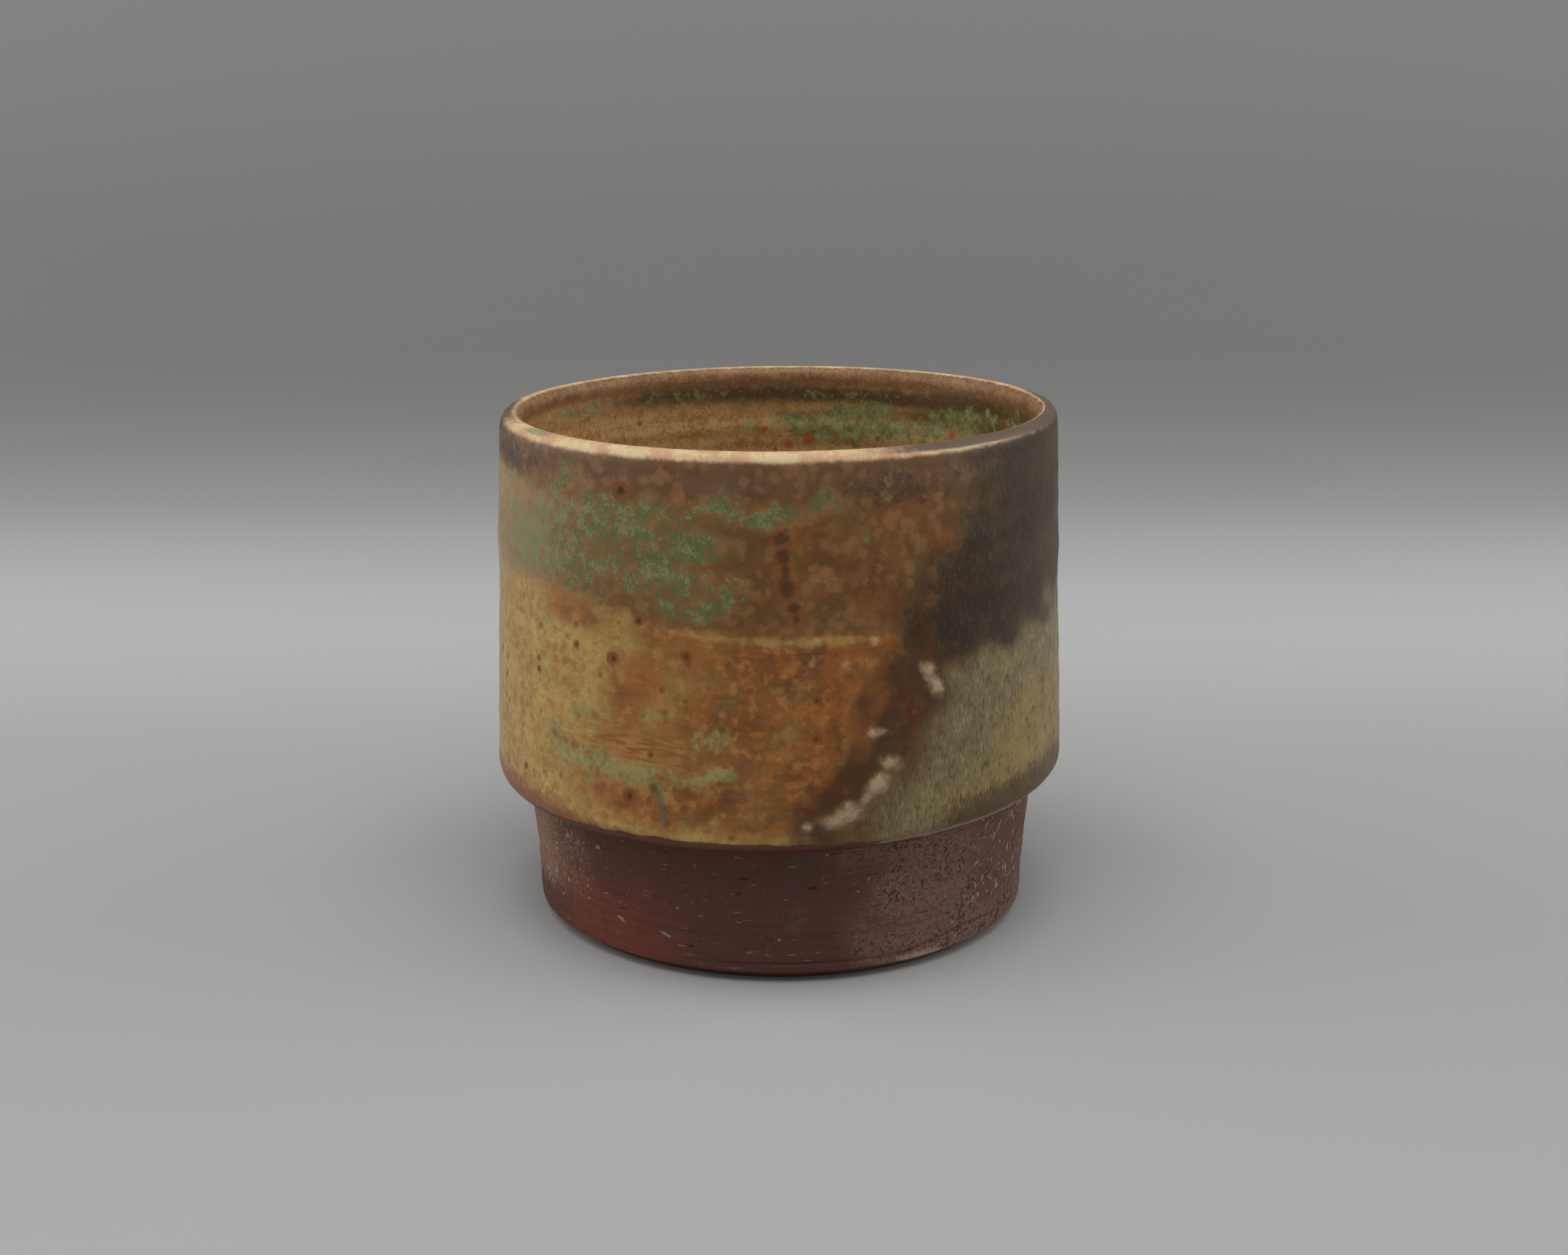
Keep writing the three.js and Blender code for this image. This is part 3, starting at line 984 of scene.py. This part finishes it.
def with_ends(make, skin):
    """The glaze's thin ends over a skin: terracotta and a dark line along its lower end, cream on the lip
    with grey, green and dark places, and brown inside it."""
    skin = make.show(skin, TERRACOTTA, "terracotta", 0.15, 1.05, 0.9, small=1.0, fine=1.0, grit=0.9)
    skin = make.show(skin, TERRACOTTA_DARK, "end", 0.2, 0.9, 0.9, small=0.3, grit=0.4)
    # Painted highlight: a pale grey line along the glaze's lower end on the right
    skin = make.show(skin, PAINTED_HIGHLIGHT_GREY, "rim", 0.25, 0.8, 0.8, small=1.6, fine=0.8)
    tone = make.span(make.broken(0.5, blotch=0.8, fine=0.9, grit=0.9), 0.3, 0.7)
    skin = make.show(skin, make.lay(LINER_TOP, LINER_DEEP, tone), "lip_inner", 0.1, 0.9, 1.0, fine=0.7)
    pale = make.span(make.broken(0.5, blotch=1.0, broad=0.6, grit=0.4), 0.4, 0.64)
    lip = make.lay(LIP_PEACH, LIP_CREAM, pale)
    skin = make.show(skin, lip, "lip", 0.1, 0.9, 1.0, fine=0.6, blotch=0.5)
    skin = make.show(skin, LIP_GREY, "lip_grey", 0.1, 0.8, 0.95, fine=0.5, blotch=0.5)
    skin = make.show(skin, CELADON_PALE, "lip_green", 0.2, 0.8, 0.7, fine=0.8)
    return make.show(skin, SOOT, "lip_dark", 0.4, 0.9, 0.65, fine=1.6, grit=1.0)


def glaze_finish():
    """The two outside glazes as one fired skin, so that they melt into each other along the dip line."""
    make = Mottled("ash_glaze")
    above = make.broken(make.field("dip"), blotch=5.0, fine=2.5)
    skin = make.lay(first_coat(make), second_coat(make), make.span(above, -1.6, 1.8))
    skin, crystals = with_crystals(make, skin)
    skin = with_ash(make, with_umber(make, skin))
    skin = with_marks(make, with_smoke(make, skin))
    make.feed(make.shader.inputs["Base Color"], with_ends(make, skin))
    dull = make.sum(make.times(crystals, 0.12), make.times(make.field("smoke"), 0.1))
    make.feed(make.shader.inputs["Roughness"], make.sum(dull, make.span(make.blotch, 0.3, 0.7, 0.36, 0.48)))
    make.shader.inputs["Specular IOR Level"].default_value = 0.35
    peel = make.broken(0.5, small=0.8, fine=0.35, upright=0.2)
    make.feed(make.shader.inputs["Normal"], make.bump(peel, 0.12))
    return make.material


def liner_finish():
    """The inside glaze: tan, a dark band under the lip, green where it stands thick, and rusty spots."""
    make = Mottled("liner_glaze")
    streaks = make.broken(0.5, around=0.3, blotch=0.6, fine=0.8, grit=0.7)
    skin = make.lay(LINER_DEEP, LINER_TAN, make.span(streaks, 0.25, 0.65))
    skin = make.lay(skin, LINER_RUST, make.times(make.dots(2.2, 0.6, 0.5, make.pushed(1.6, 0.4)), 0.4))
    top = make.broken(make.field("top"), fine=0.7, blotch=0.5)
    tone = make.span(make.broken(0.5, blotch=0.8, fine=0.9, grit=0.9), 0.3, 0.7)
    skin = make.lay(skin, make.lay(LINER_TOP, LINER_DEEP, make.times(tone, 0.7)), make.span(top, 0.1, 0.8))
    skin = make.show(skin, LINER_DARK, "dark", 0.05, 0.95, 0.88, blotch=0.8, small=0.6, fine=0.6)
    green = make.lay(LINER_GREEN_DEEP, LINER_GREEN, make.span(make.broken(make.small, grit=0.6), 0.3, 0.68))
    skin = make.show(skin, green, "celadon", 0.15, 1.0, 0.6, blotch=1.0, small=0.6)
    away = make.cells(1.5, make.pushed(1.1, 0.35))[0]
    net = make.broken(away, fine=1.0, blotch=0.9)
    stand = make.span(make.sum(net, make.times(make.field("celadon"), 0.66)), 0.86, 1.16, 0, 0.9)
    skin = make.lay(skin, green, make.times(stand, make.span(make.field("celadon"), 0.05, 0.3)))
    specks = make.span(make.broken(make.fine, blotch=0.8, small=0.4), 0.55, 0.7)
    skin = make.lay(skin, LINER_GREEN, make.times(specks, make.times(make.field("dark"), 0.4)))
    spot = make.broken(make.field("spot"), grit=1.0, fine=0.8)
    skin = make.lay(skin, LINER_RUST, make.span(spot, -0.3, 0.4, 0, 0.9))
    skin = make.lay(skin, IRON_RIM, make.times(make.dots(3.4, 0.2, 0.35), 0.8))
    make.feed(make.shader.inputs["Base Color"], skin)
    make.feed(make.shader.inputs["Roughness"], make.span(make.blotch, 0.3, 0.7, 0.32, 0.46))
    make.shader.inputs["Specular IOR Level"].default_value = 0.3
    make.feed(make.shader.inputs["Normal"], make.bump(make.broken(0.5, small=0.8, fine=0.4), 0.1))
    return make.material


def clay_finish():
    """Bare fired clay: dark red-brown with turning lines, grog, pits and drag marks, redder low on the left,
    flecked with tan at the far left, coated with pitted ash on the right and worn pale at one place of its
    base."""
    make = Mottled("fired_clay")
    lines = make.noise(0.55, 3, 0.6, make.squashed(0.07, 1.5))
    red = make.broken(make.field("red"), (lines, 0.5), broad=1.0)
    skin = make.lay(CLAY_DARK, CLAY_RED, make.span(red, 0.1, 1.0))
    skin = make.lay(skin, CLAY_BLUE, make.times(make.dots(5, 0.3, 0.4, make.pushed(2, 0.5)), 0.5))
    skin = make.show(skin, CLAY_TAN, "tan", 0.2, 1.1, 0.75, broad=0.8, fine=0.8, grit=0.8)
    ash = make.broken(make.field("ash"), broad=0.9, blotch=0.4)
    speckle = make.span(make.broken(0.5, fine=0.7, grit=1.1), 0.3, 0.64, 0.3, 1.0)
    skin = make.lay(skin, CLAY_ASH, make.times(make.span(ash, 0.0, 1.0), speckle))
    skin = make.lay(skin, CLAY_PIT_AND_SHADE, make.span(lines, 0.58, 0.75, 0, 0.35))
    pepper = make.broken(make.noise(0.62, 2, 0.6), blotch=0.5, broad=0.4)
    pits = make.times(make.span(pepper, 0.6, 0.72), make.span(ash, 0.0, 0.9, 0.25, 1.0))
    skin = make.lay(skin, CLAY_PIT_AND_SHADE, make.times(pits, 0.7))
    drag = make.span(make.noise(1.3, 2, 0.5, make.squashed(0.3, 2.6)), 0.69, 0.76)
    skin = make.lay(skin, CLAY_PIT_AND_SHADE, make.times(drag, 0.7))
    skin = make.show(skin, CLAY_PIT_AND_SHADE, "scar", 0.3, 0.7, 0.85, grit=0.8)
    flecks = make.span(make.broken(make.noise(0.75, 2, 0.6), blotch=0.4), 0.56, 0.69)
    flecks = make.times(flecks, make.span(make.field("tan"), 0.0, 0.8, 0.15, 1.0))
    strokes = make.span(make.noise(1.1, 2, 0.5, make.squashed(1.4, 1.0)), 0.58, 0.68)
    strokes = make.times(strokes, make.field("strokes"))
    grog = make.times(make.dots(1.5, 0.26, 0.14, make.pushed(0.5, 0.3)), make.span(make.grit, 0.4, 0.6))
    scuffs = make.span(make.noise(1.0, 2, 0.5, make.squashed(0.4, 2.4)), 0.64, 0.74, 0, 0.55)
    scuffs = make.times(scuffs, make.span(make.field("ash"), 0, 0.5, 1, 0.2))
    pale = make.sum(make.sum(flecks, strokes), make.sum(grog, scuffs))
    skin = make.lay(skin, GROG, make.span(pale, 0.1, 1.0, 0, 0.7))
    skin = make.show(skin, GROG, "scratch", 0.35, 0.8, 0.7, grit=1.0)
    skin = make.show(skin, GROG, "worn", 0.3, 0.9, 0.6, fine=0.8, grit=0.6)
    # Painted shade: dark laid along the turning groove low on the foot
    skin = make.lay(skin, CLAY_PIT_AND_SHADE, make.times(make.field("groove"), 0.6))
    make.feed(make.shader.inputs["Base Color"], skin)
    make.feed(make.shader.inputs["Roughness"], make.span(make.fine, 0.3, 0.7, 0.62, 0.85))
    make.shader.inputs["Specular IOR Level"].default_value = 0.2
    dents = make.less(make.times(lines, 0.6), make.sum(pits, drag))
    dents = make.sum(dents, make.times(pale, 0.3))
    make.feed(make.shader.inputs["Normal"], make.bump(make.broken(dents, fine=0.5, grit=0.3), 0.14))
    return make.material


# The four pieces


def foot_scars(angle, height):
    """Marks of the turning tool and the kiln shelf on the foot, as fields."""
    degrees = np.degrees(angle)
    groove_level = np.interp(degrees, [-60, 0, 28, 44, 66], [2.7, 3.1, 3.0, 4.6, 3.6])
    groove = np.exp(-((height - groove_level) / 0.16) ** 2)
    return {
        "groove": groove * rise(degrees, -30, -8) * rise(-degrees, -74, -62),
        "scar": strongest(angle, height, FOOT_DRAGS),
        "scratch": strongest(angle, height, FOOT_SCRATCHES),
        "worn": patch(angle, height, (32, 1.9), (6, 0.9)),
    }


def clay_piece(material):
    """The whole clay pot, fine where it is bare: recess, ring, rounded bevel and foot."""
    corner = RING_INNER - FOOT_RECESS_ROUNDING
    top = FOOT_RECESS_DEPTH - FOOT_RECESS_ROUNDING
    ring_outer = RING_OUTER - RING_WEAR
    edge = RING_EDGE_ROUNDING
    bevel_top = (FOOT_BASE_RADIUS - BEVEL_WEAR_ACROSS, FOOT_BEVEL_HEIGHT + BEVEL_WEAR_UPWARD)
    inner_lip = (MOUTH_RADIUS + LINER_COAT, LIP_LEVEL)
    side = foot_side(92)
    profile = np.concatenate([
        straight((POLE_RADIUS, FOOT_RECESS_DEPTH), (corner, FOOT_RECESS_DEPTH), 24),
        rounded((corner, top), FOOT_RECESS_ROUNDING, FOOT_RECESS_ROUNDING, 90, 0, 6),
        straight((RING_INNER, top), (RING_INNER, edge), 3),
        rounded((RING_INNER + edge, edge), edge, edge, 180, 270, 4),
        straight((RING_INNER + edge, 0), (ring_outer, 0), 6),
        straight((ring_outer, 0), bevel_top, 6),
        side[side[:, 1] > bevel_top[1]],
        straight((FOOT_TOP_RADIUS, FOOT_HEIGHT), (FOOT_TOP_RADIUS, FOOT_HEIGHT + FIRST_COAT), 2),
        shoulder(FIRST_COAT, -90, 0, 6),
        wall(FIRST_COAT, SHOULDER_LEVEL, LIP_LEVEL, 8),
        clay_lip(0, 180, 8),
        straight(inner_lip, bowl_edge(LINER_COAT), 4),
        bowl(LINER_COAT, 0, -90, 8),
        straight((FLOOR_RADIUS, HIDDEN_FLOOR_LEVEL), (HIDDEN_POLE_RADIUS, HIDDEN_FLOOR_LEVEL), 3),
    ])
    angle, radius, height = grid(profile, CLAY_COLUMNS)
    degrees = np.degrees(angle)
    scars = foot_scars(angle, height)
    bare = rise(-height, -FOOT_HEIGHT, -FOOT_HEIGHT + 2) * rise(radius, 34, 38)
    lines = 0.022 * mottle(angle * 0, height, 1.3, 31) + 0.02 * mottle(angle, height * 3, 7, 32)
    relief = (lines - 0.16 * scars["groove"]) * bare
    poles = (FOOT_RECESS_DEPTH, HIDDEN_FLOOR_LEVEL)
    mesh = turned_mesh("fired_clay", *placed(angle, radius, height, relief), poles)
    red = patch(angle, height, (-42, 5), (18, 8)) + 0.45 * patch(angle, height, (128, 8), (26, 12))
    ash = rise(degrees + 3 * mottle(angle, height, 9, 33), 2, 34) * rise(-degrees, -120, -80)
    tan = rise(-degrees, 34, 72) * rise(degrees, -130, -95) * rise(height, 1, 12)
    strokes = rise(degrees, 38, 52) * rise(-degrees, -100, -75) * rise(height, 4, 8)
    fields = {"red": red, "ash": ash * (1 - 0.5 * strokes), "tan": tan, "strokes": strokes, **scars}
    outside = rise(radius, 33, 37.5)
    add_fields(mesh, {name: field * outside for name, field in fields.items()})
    add_piece(mesh, "clay_body", material)


def first_glaze_piece(material):
    """First glaze: a thin shell from the foot's top round the shoulder and up under the second glaze."""
    outside = np.concatenate([
        straight((FOOT_TOP_RADIUS, FOOT_HEIGHT), (SHOULDER_RADIUS, FOOT_HEIGHT), 3),
        shoulder(0, -90, 0, 26),
        wall(0, SHOULDER_LEVEL, FINE_ROWS_TOP, 98),
        wall(0, FINE_ROWS_TOP, LIP_LEVEL, 8),
        [(UNDER_LIP, LIP_LEVEL)],
    ])
    inside = np.concatenate([
        wall(FIRST_COAT, LIP_LEVEL, SHOULDER_LEVEL, 8),
        shoulder(FIRST_COAT, 0, -90, 6),
        [(SHOULDER_RADIUS, FOOT_HEIGHT + FIRST_COAT), (FOOT_TOP_RADIUS, FOOT_HEIGHT + FIRST_COAT)],
    ])
    angle, radius, height = grid(np.concatenate([outside, inside]), OUTSIDE_COLUMNS)
    relief = glaze_relief(angle, height)
    relief[len(outside):] = 0
    mesh = turned_mesh("first_glaze", *placed(angle, radius, height, relief))
    add_fields(mesh, {**glaze_fields(angle, height), **lip_fields(angle, np.zeros(angle.shape))})
    add_piece(mesh, "outer_glaze", material)


def second_glaze_piece(material):
    """Second glaze: a shell that feathers in from its wavy lower edge, draws in below the lip and goes over
    it to the mouth."""
    crest = LIP_RADIUS - LIP_THICKNESS / 2
    draw_in = LIP_LEVEL - LIP_DRAW_IN
    width = wall_radius(draw_in) + SECOND_COAT - crest
    outer = rounded((crest, draw_in), width, CUP_HEIGHT - draw_in, 0, 90, 26, LIP_SQUARENESS)
    inner = rounded((crest, LIP_LEVEL), LIP_THICKNESS / 2, LIP_ROUNDING, 90, 180, 18, LIP_SQUARENESS)
    under = clay_lip(180, 0, 10)
    share = np.linspace(0, 1, 74, endpoint=False)[:, None]
    back = np.linspace(1, 0, 12)[:, None]
    angle = np.linspace(-math.pi, math.pi, OUTSIDE_COLUMNS, endpoint=False)
    low = dip_line(angle) - DIP_OVERLAP + 0.4 * mottle(angle, angle * 0, 14, 41)
    front_height = low + (draw_in - low) * share
    thickening = rise(front_height - low, 0, DIP_FEATHER)
    coat = DIP_EDGE_COAT + (SECOND_COAT - DIP_EDGE_COAT) * thickening
    front_radius = wall_radius(front_height) + coat
    back_height = low + (LIP_LEVEL - low) * back
    rim = np.concatenate([outer, inner, [(MOUTH_RADIUS, LIP_LEVEL)], under])
    rim_radius, rim_height = grid(rim, OUTSIDE_COLUMNS)[1:]
    radius = np.concatenate([front_radius, rim_radius, wall_radius(back_height)])
    height = np.concatenate([front_height, rim_height, back_height])
    angle = np.broadcast_to(angle, radius.shape)
    across = np.zeros(len(radius))
    lip_rows = len(outer) + len(inner)
    across[len(share):len(share) + lip_rows] = np.linspace(0, 180, lip_rows)
    across[len(share) + lip_rows:-len(back)] = 180
    relief = glaze_relief(angle, height)
    relief[len(share) + len(outer):-len(back)] = 0
    mesh = turned_mesh("dipped_glaze", *placed(angle, radius, height, relief))
    across = np.broadcast_to(across[:, None], radius.shape)
    add_fields(mesh, {**glaze_fields(angle, height), **lip_fields(angle, across)})
    add_piece(mesh, "second_glaze", material)


def liner_fields(angle, radius, height):
    """All that the inside glaze's finish reads: the dark band under the lip, which spreads over the right
    side, the green patches and the pool on the floor, the brown top and the spots."""
    degrees = np.mod(np.degrees(angle), 360)
    turns = [0, 60, 90, 180, 215, 228, 250, 300, 360]
    strength = np.interp(degrees, turns, [0.5, 0.8, 1, 1, 0.9, 0.5, 0.2, 0.3, 0.5])
    level = 75.2 + 0.3 * np.sin(2 * angle)
    band = strength * np.exp(-((height - level) / 1.9) ** 2)
    spread = 0.85 * rise(degrees, 70, 98) * rise(-degrees, -166, -132)
    spread = spread * rise(height, 68.5, 72.5) * rise(-height, -78, -76)
    green = sum(share * patch(angle, height, at, half, tilt) for share, at, half, tilt in LINER_GREENS)
    pool = 0.7 * rise(-radius, -30, -18) + 0.35 * rise(-height, -40, -26)
    return {
        "dark": np.maximum(band, spread),
        "celadon": np.clip(green + pool, 0, 1.1),
        "spot": spot_field(angle, height, LINER_SPOTS),
        "top": rise(height, 75.5, LIP_LEVEL),
    }


def liner_piece(material):
    """Liner: a shell from the floor up the inside to the mouth."""
    under = np.concatenate([
        straight((HIDDEN_POLE_RADIUS, HIDDEN_FLOOR_LEVEL), (FLOOR_RADIUS, HIDDEN_FLOOR_LEVEL), 3),
        bowl(LINER_COAT, -90, 0, 8),
        straight(bowl_edge(LINER_COAT), (MOUTH_RADIUS + LINER_COAT, LIP_LEVEL), 6),
        [(MOUTH_RADIUS + LINER_COAT, LIP_LEVEL)],
    ])
    inside = np.concatenate([
        straight((MOUTH_RADIUS, LIP_LEVEL), bowl_edge(0), 84),
        bowl(0, 0, -90, 50),
        straight((FLOOR_RADIUS, FLOOR_LEVEL), (POLE_RADIUS, FLOOR_LEVEL), 20),
    ])
    angle, radius, height = grid(np.concatenate([under, inside]), INSIDE_COLUMNS)
    rings = 0.1 * np.sin(TURN * height / 5.2 - angle) + 0.05 * np.sin(TURN * height / 2.7 + 2 * angle)
    relief = rings * rise(-height, -76, -70) * rise(radius, 12, 30)
    relief[:len(under)] = 0
    poles = (HIDDEN_FLOOR_LEVEL, FLOOR_LEVEL)
    mesh = turned_mesh("inside_glaze", *placed(angle, radius, height, relief), poles)
    add_fields(mesh, liner_fields(angle, radius, height))
    add_piece(mesh, "liner_glaze", material)


outside_glaze = glaze_finish()
clay_piece(clay_finish())
first_glaze_piece(outside_glaze)
second_glaze_piece(outside_glaze)
liner_piece(liner_finish())


# Stage in metres and degrees: a pale grey sheet that sweeps up behind the cup, lamps and camera

SWEEP_FRONT = -2.5
SWEEP_FLOOR_END = 0.30
SWEEP_BEND = 0.22
SWEEP_TOP = 2.5
SWEEP_HALF_WIDTH = 3.0
SWEEP_DROP = 0.05 * MM
# Painted light on the paper: a bright band behind the cup, then painted shade up the sweep
SWEEP_PAINTED_LIGHT = [(PAINTED_LIGHT_BAND_GREY, 0.06, 0.165), (PAINTED_SHADE_WALL_GREY, 0.16, 0.45), (PAINTED_SHADE_HIGH_GREY, 0.5, 0.7)]
WORLD_LEVEL = 0.38
LAMP_SIZE = 0.7
LAMP_TARGET = (0, 0, 0.04)
LENS = 50
SENSOR_WIDTH = 36
CAMERA_PLACE = (0, -0.3358, 0.1349)
CAMERA_LOOKS_DOWN = 15.16
CAMERA_LOOKS_RIGHT = 0.09


def sweep_mesh():
    """A floor that turns up in a quarter circle into a wall, drawn straight across, in metres."""
    back = SWEEP_FLOOR_END + SWEEP_BEND
    turn = np.radians(np.linspace(-90, 0, 33))
    along = SWEEP_FLOOR_END + SWEEP_BEND * np.cos(turn)
    upward = SWEEP_BEND + SWEEP_BEND * np.sin(turn)
    curve = np.stack([along, upward], -1)
    line = np.concatenate([[(SWEEP_FRONT, 0)], curve, [(back, SWEEP_TOP)]]) - (0, SWEEP_DROP)
    left = np.stack([np.full(len(line), -SWEEP_HALF_WIDTH), line[:, 0], line[:, 1]], -1)
    right = left * (-1, 1, 1)
    count = len(line)
    here = np.arange(count - 1)
    faces = np.stack([here, here + count, here + count + 1, here + 1], -1)
    mesh = bpy.data.meshes.new("sweep")
    mesh.from_pydata(np.concatenate([left, right]).tolist(), [], faces.tolist())
    mesh.shade_smooth()
    return mesh


def paper_finish():
    """Grey background paper with painted light: even on the floor, a painted bright band behind the cup and
    painted shade darker up the sweep.
    """
    make = Finish("background_paper")
    split = make.node("ShaderNodeSeparateXYZ")
    make.feed(split.inputs["Vector"], make.place)
    along = make.sum(split.outputs["Y"], split.outputs["Z"])
    tone = FLOOR_GREY
    for paint, start, end in SWEEP_PAINTED_LIGHT:
        tone = make.lay(tone, paint, make.span(along, start, end))
    make.feed(make.shader.inputs["Base Color"], tone)
    make.shader.inputs["Roughness"].default_value = 0.8
    return make.material


def add_sweep():
    """The sheet, as stage."""
    sweep = bpy.data.objects.new("sweep", sweep_mesh())
    sweep.data.materials.append(paper_finish())
    bpy.context.scene.collection.objects.link(sweep)


def add_lamp(name, place, power):
    """A square soft light at a place, turned to the cup, in metres and watts."""
    lamp = bpy.data.lights.new(name, "AREA")
    lamp.size = LAMP_SIZE
    lamp.energy = power
    made = bpy.data.objects.new(name, lamp)
    made.location = place
    heading = np.array(LAMP_TARGET) - np.array(place)
    made.rotation_euler = (
        math.atan2(np.hypot(heading[0], heading[1]), -heading[2]),
        0,
        math.atan2(heading[1], heading[0]) - math.pi / 2,
    )
    bpy.context.scene.collection.objects.link(made)


def add_world():
    """Even grey light from all round."""
    world = bpy.data.worlds.new("studio")
    world.use_nodes = True
    level = (WORLD_LEVEL, WORLD_LEVEL, WORLD_LEVEL, 1)
    world.node_tree.nodes["Background"].inputs["Color"].default_value = level
    bpy.context.scene.world = world


def add_camera():
    """A 50 mm view from a little above the rim, as the photograph has it."""
    camera = bpy.data.cameras.new("camera")
    camera.lens = LENS
    camera.sensor_width = SENSOR_WIDTH
    made = bpy.data.objects.new("camera", camera)
    made.location = CAMERA_PLACE
    made.rotation_euler = (math.radians(90 - CAMERA_LOOKS_DOWN), 0, math.radians(-CAMERA_LOOKS_RIGHT))
    bpy.context.scene.collection.objects.link(made)
    bpy.context.scene.camera = made


add_sweep()
add_world()
add_lamp("overhead", (0, -0.22, 0.8), 3.6)
add_lamp("left_side", (-0.75, 0.1, 0.4), 2.6)
add_lamp("right_side", (0.75, 0.1, 0.4), 2.4)
add_camera()
bpy.context.scene.view_settings.view_transform = "Standard"
